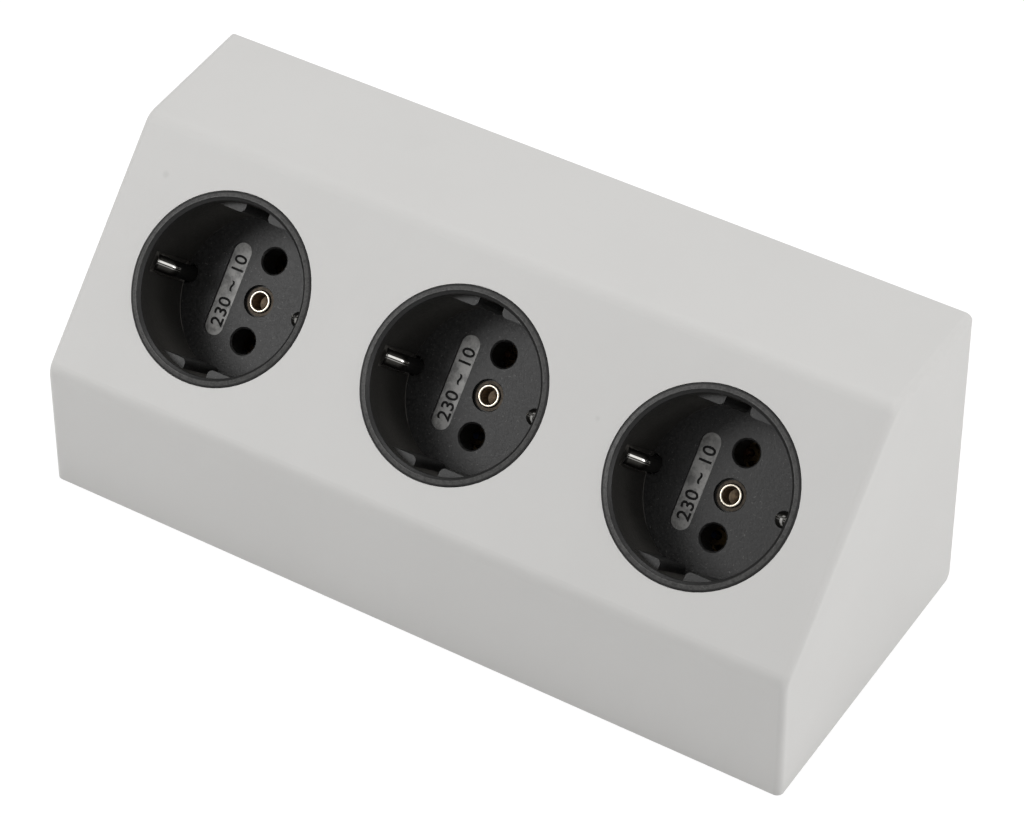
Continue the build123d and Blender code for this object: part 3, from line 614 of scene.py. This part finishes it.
for index, name in enumerate(SOCKET_NAMES):
    piece = figures.copy()
    piece.data = figures.data.copy()
    piece.name = f"rating_figures_{name}"
    bpy.context.scene.collection.objects.link(piece)
    stand = slope_matrix(index, FIGURE_U, FIGURE_V, FIGURE_W)
    piece.matrix_world = stand @ reading_up @ stretch @ middle
    bpy.ops.object.select_all(action="DESELECT")
    piece.select_set(True)
    bpy.context.view_layer.objects.active = piece
    bpy.ops.object.transform_apply(location=True, rotation=True, scale=True)
    piece.data.materials.clear()
    piece.data.materials.append(figures_finish)
    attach(piece, "root")
    print(piece.name, "has", len(piece.data.polygons), "faces")
bpy.data.objects.remove(figures)

# %% [markdown]
# The strip stands on a white studio floor. Brighter lamps would whiten the floor but burn out the
# pale housing, so camera, mirror and glass rays see the floor lifted to white, while every other
# ray meets plain white paint. The light that it throws back on the strip then stays natural, and
# the soft shadow under the strip is kept.


# %% Floor
def background_rays(tree):
    """1 for camera, mirror and glass rays, and 0 for every other ray."""
    rays = tree.nodes.new("ShaderNodeLightPath")
    seen = compute(tree, "MAXIMUM", rays.outputs["Is Camera Ray"], rays.outputs["Is Glossy Ray"])
    return compute(tree, "MAXIMUM", seen, rays.outputs["Is Transmission Ray"])


FLOOR_SIZE = 6
FLOOR_LIFT = 0.88
WHITE = (1.0, 1.0, 1.0, 1.0)
bpy.ops.object.select_all(action="DESELECT")
bpy.ops.mesh.primitive_plane_add(size=FLOOR_SIZE, location=(0, 0, 0))
floor = bpy.context.object
floor.name = "studio_floor"
floor_finish = bpy.data.materials.new("studio_floor")
floor_finish.use_nodes = True
tree = floor_finish.node_tree
tree.nodes.clear()
output = tree.nodes.new("ShaderNodeOutputMaterial")
paint = add(tree, "ShaderNodeBsdfDiffuse", Color=(0.80, 0.80, 0.80, 1.0))
shaded = add(tree, "ShaderNodeBsdfDiffuse", Color=(0.22, 0.22, 0.22, 1.0))
lift = add(tree, "ShaderNodeEmission", Color=WHITE, Strength=FLOOR_LIFT)
lifted = add(tree, "ShaderNodeAddShader", i0=shaded.outputs[0], i1=lift.outputs[0])
seen = background_rays(tree)
choice = add(tree, "ShaderNodeMixShader", i0=seen, i1=paint.outputs[0], i2=lifted.outputs[0])
tree.links.new(choice.outputs[0], output.inputs[0])
floor.data.materials.append(floor_finish)
print("floor is", FLOOR_SIZE, "m wide")

# %% [markdown]
# The world does the same: it is white for the rays that show it, and a weak even light for all
# others, so that it fills the shadows a little and leaves the shaping to the lamps.

# %% World
WORLD_LIGHT = 0.27
world = bpy.data.worlds.new("studio_world")
bpy.context.scene.world = world
world.use_nodes = True
tree = world.node_tree
tree.nodes.clear()
output = tree.nodes.new("ShaderNodeOutputWorld")
strength = compute(tree, "MULTIPLY_ADD", background_rays(tree), 1.0 - WORLD_LIGHT, WORLD_LIGHT)
sky = add(tree, "ShaderNodeBackground", Color=WHITE, Strength=strength)
tree.links.new(sky.outputs[0], output.inputs[0])
print("world light:", WORLD_LIGHT, "of white")

# %% [markdown]
# The key lamp stands square to the slope but well to the left, so it lights the sockets' floors
# and leaves the left wall of each cup dark. One above lifts the flat top, and one low down on the
# right makes the right end as pale as the top. All are large squares, which gives soft shadows.
# Each lamp is given by its name, the direction it stands in, its width in metres and its power.

# %% Lamps
LAMP_TARGET = Vector((0, 0, 0.04))
LAMP_DISTANCE = 1.2


def soft_lamp(name, direction, size, power):
    """Square area lamp that looks at the strip from this direction."""
    lamp_data = bpy.data.lights.new(name, "AREA")
    lamp_data.shape = "SQUARE"
    lamp_data.size = size
    lamp_data.energy = power
    lamp = bpy.data.objects.new(name, lamp_data)
    bpy.context.scene.collection.objects.link(lamp)
    towards = Vector(direction).normalized()
    lamp.location = LAMP_TARGET + towards * LAMP_DISTANCE
    lamp.rotation_euler = towards.to_track_quat("Z", "Y").to_euler()
    print(name, "at", [round(v, 2) for v in lamp.location], "power", power)


soft_lamp("key_lamp", (-0.52, -0.604, 0.604), 0.45, 5.75)
soft_lamp("top_lamp", (-0.1, 0.35, 0.93), 0.6, 4.75)
soft_lamp("right_fill", (0.94, 0.14, 0.30), 0.45, 6.05)

# %% [markdown]
# Standard shows colours as written, where the default view would soften the whites and pull the
# greys down.

# %% Finish
bpy.context.scene.view_settings.view_transform = "Standard"
